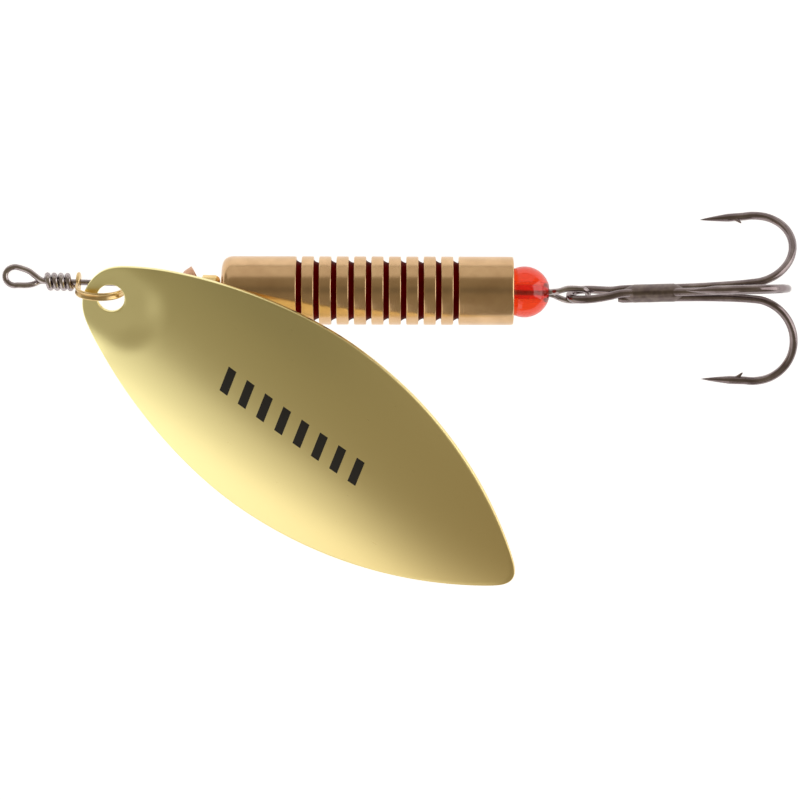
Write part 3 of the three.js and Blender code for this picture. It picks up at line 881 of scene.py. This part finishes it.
def lacquer_shell(middle):
    """A ring of lacquer in its groove: a sloping floor and a skin that creeps up both walls."""
    a, b = middle - GROOVE_WIDTH / 2, middle + GROOVE_WIDTH / 2
    across = np.linspace(0, 1, 12)
    skin = LACQUER_FRONT + (LACQUER_REAR - LACQUER_FRONT) * across + 0.08 * (2 * across - 1) ** 4
    profile = [
        [a, LACQUER_FRONT - LACQUER_DEPTH + 0.01],
        *np.stack([a + (b - a) * across, skin], 1),
        [b, LACQUER_REAR - LACQUER_DEPTH + 0.01],
    ]
    points, faces = torus(turned(profile, 128))
    return turn_z(points, BODY_SKEW, (*BODY_FRONT, 0)), faces


def red_bead_shell():
    """A moulded ball with a bore: an arc from mouth to mouth outside, and a straight wall inside."""
    start = math.degrees(math.asin((RED_BEAD_BORE + 0.12) / RED_BEAD_RADIUS))
    ball = arc(0, 0, RED_BEAD_RADIUS, 180 - start, start, 72)
    bore_x = math.sqrt(RED_BEAD_RADIUS**2 - RED_BEAD_BORE**2) - 0.15
    bore = np.stack([np.linspace(bore_x, -bore_x, 24), np.full(24, RED_BEAD_BORE)], 1)
    points, faces = torus(turned(np.concatenate([ball, bore]), 96))
    return points + np.array([*RED_BEAD_PLACE, 0]), faces


make("copper_cup_pressed", cup_shell(), COPPER, "cup", ["copper_cup"], sharp=50)
make(
    "front_bead_turned",
    small_bead_shell(),
    BEAD_BRASS,
    "front_bead",
    ["front_brass_bead"],
    sharp=50,
)
make("grooved_body", barrel_shell(), TURNED_BRASS, "body", ["body_barrel"], sharp=40)
for number, middle in enumerate(groove_middles, 1):
    node = f"groove_lacquer_{number}"
    make(f"lacquer_ring_{number}", lacquer_shell(middle), LACQUER, "body", [node], sharp=60)
make("red_bead_moulded", red_bead_shell(), RED_PLASTIC, "rear_bead", ["red_bead"], sharp=50)

# ---------------------------------------------------------------------------------------------------
# Treble hook, drawn along its own X axis and then turned as a whole
# ---------------------------------------------------------------------------------------------------


def hook_point(x, out, angle):
    """A point along the hook's axis, at a distance out from it in the half-plane at an angle."""
    return np.array([x, out * math.sin(angle), out * math.cos(angle)])


def placed(points):
    """Hook points in the row frame: pitched up and yawed about the bar the eye hangs on."""
    turn = Matrix.Rotation(HOOK_YAW, 3, "Z") @ Matrix.Rotation(-HOOK_PITCH, 3, "Y")
    return points @ np.array(turn).T + np.array(HOOK_PLACE)


def bend_points(angle):
    """One hook from the end of the braze to its tip: the shank, the round bend, the straight side and
    the point, which leans a little inwards."""
    outer = HOOK_REACH - HOOK_WIRE
    middle = (outer + SHANK_OUT + 0.4) / 2
    half = outer - middle
    points = [hook_point(SPLIT_START, SHANK_OUT, angle), hook_point(14.5, SHANK_OUT + 0.1, angle)]
    for turn in np.radians(np.arange(0, 181, 20)):
        x = BEND_X + BEND_RADIUS * math.sin(turn)
        points.append(hook_point(x, middle - half * math.cos(turn), angle))
    points.append(hook_point(POINT_START, outer - 0.1, angle))
    for share in (0.25, 0.5, 0.75, 1.0):
        x = POINT_START + (POINT_TIP_X - POINT_START) * share
        points.append(hook_point(x, outer - 0.1 - (POINT_TIP_IN - 0.1) * share, angle))
    return points


def taper(from_tip):
    """Radius of the wire at a distance from its tip: a needle point that swells to the full wire, as a
    power of the distance a little under one."""
    share = np.clip(from_tip / POINT_LENGTH, 0, 1)
    return HOOK_WIRE * np.maximum(0.05, share**0.72)


def barb(angle):
    """The barb: a sliver lifted from the wire, carried along a short curve and pointed at its tip."""
    outer = HOOK_REACH - HOOK_WIRE
    root = hook_point(BARB_TIP_X - 1.9, outer - 0.16, angle)
    lift = hook_point(BARB_TIP_X - 0.7, outer - 0.5, angle)
    tip = hook_point(BARB_TIP_X, outer - BARB_LIFT, angle)
    path = smooth_path([root, lift, tip], 14)
    share = np.linspace(0, 1, len(path))
    radii = BARB_ROOT_RADIUS * np.sqrt(np.clip(1 - share**1.6, 0, 1)) + BARB_TIP_RADIUS
    return tube(swept(path, radii, sides=16))


def double_hook_shell():
    """One wire from tip to tip: a point, a bend and a shank, the eye in the middle, and the same back.
    Its radius tapers to both tips, and each has its barb."""
    w = HOOK_EYE_HALF_WIDTH
    middle = (hook_point(0, SHANK_OUT, RAISED) + hook_point(0, SHANK_OUT, UPPER)) / 2
    side = hook_point(0, SHANK_OUT, RAISED) - middle
    side = side / np.linalg.norm(side)

    def eye_point(x, out, shift):
        return np.array([x, 0, 0]) + side * out + middle * shift

    eye = [
        eye_point(HOOK_EYE_REAR + 0.6, 0.75, 0.3),
        eye_point(HOOK_EYE_REAR - 0.9, 1.13, 0),
        eye_point(0.2, w, 0),
    ]
    for turn in np.radians(np.arange(90, 271, 22.5)):
        eye.append(eye_point(HOOK_EYE_FRONT + w + w * math.cos(turn), w * math.sin(turn), 0))
    eye += [
        eye_point(0.2, -w, 0),
        eye_point(HOOK_EYE_REAR - 0.9, -1.13, 0),
        eye_point(HOOK_EYE_REAR + 0.6, -0.75, 0.3),
    ]
    points = [
        *bend_points(RAISED)[::-1],
        hook_point(4, SHANK_OUT, RAISED),
        *eye,
        hook_point(4, SHANK_OUT, UPPER),
        *bend_points(UPPER),
    ]
    path = smooth_path(points, 14)
    length = np.concatenate([[0], np.cumsum(np.linalg.norm(np.diff(path, axis=0), axis=1))])
    from_tip = np.minimum(length, length[-1] - length)
    wire = tube(swept(path, taper(from_tip), sides=24))
    points, faces = together(wire, barb(RAISED), barb(UPPER))
    return placed(points), faces


def single_hook_shell():
    """The third hook: a plain cut end inside the braze, the shank, the bend and the barbed point."""
    points = [hook_point(SINGLE_START, SHANK_OUT, LOWER), *bend_points(LOWER)]
    path = smooth_path(points, 14)
    length = np.concatenate([[0], np.cumsum(np.linalg.norm(np.diff(path, axis=0), axis=1))])
    radii = taper(length[-1] - length) * np.clip(0.8 + length / 0.6, 0, 1)
    points, faces = together(tube(swept(path, radii, sides=24)), barb(LOWER))
    return placed(points), faces


def braze_shell():
    """The brazing metal: its section is a circle that sinks between the three shanks, in three soft
    fillets, and it thins towards both ends, where it ran out along the wires."""
    x = np.linspace(BRAZE_START, BRAZE_END, 90)
    share = (x - BRAZE_START) / (BRAZE_END - BRAZE_START)
    fade = np.clip(np.sin(np.pi * share) * 1.7, 0, 1) ** 0.8
    angle = np.arange(96) / 96 * TURN
    away = [1 - np.cos(angle - shank) for shank in (RAISED, UPPER, LOWER)]
    fillet = np.exp(-6 * np.minimum.reduce(away))
    ripple = 1 + 0.012 * np.sin(2.4 * x)[:, None] * np.cos(2 * angle + 1.3)
    radius = (BRAZE_END_RADIUS + (BRAZE_SWELL + BRAZE_FILLET * fillet) * fade[:, None]) * ripple
    rings = np.stack(
        [np.broadcast_to(x[:, None], radius.shape), radius * np.sin(angle), radius * np.cos(angle)],
        -1,
    )
    points, faces = tube(rings)
    return placed(points), faces


make("double_hook", double_hook_shell(), HOOK_STEEL, "treble", ["treble_double_hook"])
make("single_hook", single_hook_shell(), HOOK_STEEL, "treble", ["treble_single_hook"])
make("braze_fillet", braze_shell(), BRAZE, "treble", ["treble_braze"])

# ---------------------------------------------------------------------------------------------------
# Floor, light and camera
# ---------------------------------------------------------------------------------------------------


def pale_floor():
    """A plain sheet of white acrylic, lit a little from below so that shadows on it stay faint. The lure
    hangs over it, as on its line, high enough that the blade and the treble clear it when they swing."""
    half, z = FLOOR_HALF_WIDTH, FLOOR_Z
    mesh = bpy.data.meshes.new("floor")
    corners = [(-half, -half, z), (half, -half, z), (half, half, z), (-half, half, z)]
    mesh.from_pydata((np.array(corners) * MM).tolist(), [], [(0, 1, 2, 3)])
    material, _, surface, _ = finish("white_acrylic_floor")
    surface.inputs["Base Color"].default_value = colour("#f4f4f6")
    surface.inputs["Roughness"].default_value = 0.6
    surface.inputs["Emission Color"].default_value = colour("#f6f9ff")
    surface.inputs["Emission Strength"].default_value = 0.6
    mesh.materials.append(material)
    floor = bpy.data.objects.new("floor", mesh)
    bpy.context.scene.collection.objects.link(floor)


def softbox(name, azimuth, low, high, width, radiance):
    """An upright light panel a metre away, from one elevation to another. Its power is worked out from
    the radiance it should show, which is power over area and pi."""
    target = np.array([0.045, -0.01, 0.0])
    turn = math.radians(azimuth)
    bottom, top = math.tan(math.radians(low)), math.tan(math.radians(high))
    tall = top - bottom
    place = target + np.array([math.cos(turn), math.sin(turn), (bottom + top) / 2])
    light = bpy.data.lights.new(name, "AREA")
    light.shape = "RECTANGLE"
    light.size = width
    light.size_y = tall
    light.energy = radiance * math.pi * width * tall
    panel = bpy.data.objects.new(name, light)
    away = np.array([math.cos(turn), math.sin(turn), 0.0])
    flat = np.cross([0.0, 0.0, 1.0], away)
    up = np.cross(away, flat)
    panel.matrix_world = Matrix(
        [
            [flat[0], up[0], away[0], place[0]],
            [flat[1], up[1], away[1], place[1]],
            [flat[2], up[2], away[2], place[2]],
            [0, 0, 0, 1],
        ]
    )
    bpy.context.scene.collection.objects.link(panel)


# The room's colour by the height of the direction looked in, from the horizon to overhead.
ROOM = [
    (0.0, (0.3, 0.27, 0.205, 1)),
    (0.8, (0.3, 0.262, 0.19, 1)),
    (0.965, (0.28, 0.243, 0.17, 1)),
    (0.99, (0.2, 0.175, 0.125, 1)),
    (1.0, (0.175, 0.155, 0.112, 1)),
]


def surround():
    """A dim warm room with a dark hood overhead, which polished metal shows between the panels."""
    world = bpy.data.worlds.new("dim_warm_room")
    world.use_nodes = True
    tree = world.node_tree
    background = tree.nodes["Background"]
    add = node_adder(tree)
    direction = add("ShaderNodeTexCoord").outputs["Generated"]
    axes = add("ShaderNodeSeparateXYZ", {0: direction})
    fade = ramp(add, axes.outputs["Z"], ROOM)
    tree.links.new(fade, background.inputs["Color"])
    bpy.context.scene.world = world


def camera():
    """Looks straight down on the lure from 0.4 m, rolled so that the shaft falls away a little."""
    distance = 400.0
    seen_width = 93.35
    over_x, over_y = 44.9, -12.8
    data = bpy.data.cameras.new("camera")
    data.sensor_width = 36.0
    data.lens = data.sensor_width * distance / seen_width
    data.clip_start = 0.01
    data.clip_end = 10.0
    eye = bpy.data.objects.new("camera", data)
    roll = Matrix.Rotation(math.radians(1.43), 4, "Z")
    eye.matrix_world = Matrix.Translation((over_x * MM, over_y * MM, distance * MM)) @ roll
    bpy.context.scene.collection.objects.link(eye)
    bpy.context.scene.camera = eye


pale_floor()
softbox("key_panel_low", -127, 2, 27, 1.15, 1.05)
softbox("key_panel_middle", -127, 2, 35, 1.15, 0.5)
softbox("key_panel_high", -127, 2, 44, 1.15, 0.45)
softbox("side_panel", 8, 2, 50, 1.2, 1.7)
softbox("back_panel", 96, 2, 45, 1.8, 0.42)
surround()
camera()
bpy.context.scene.view_settings.view_transform = "Standard"
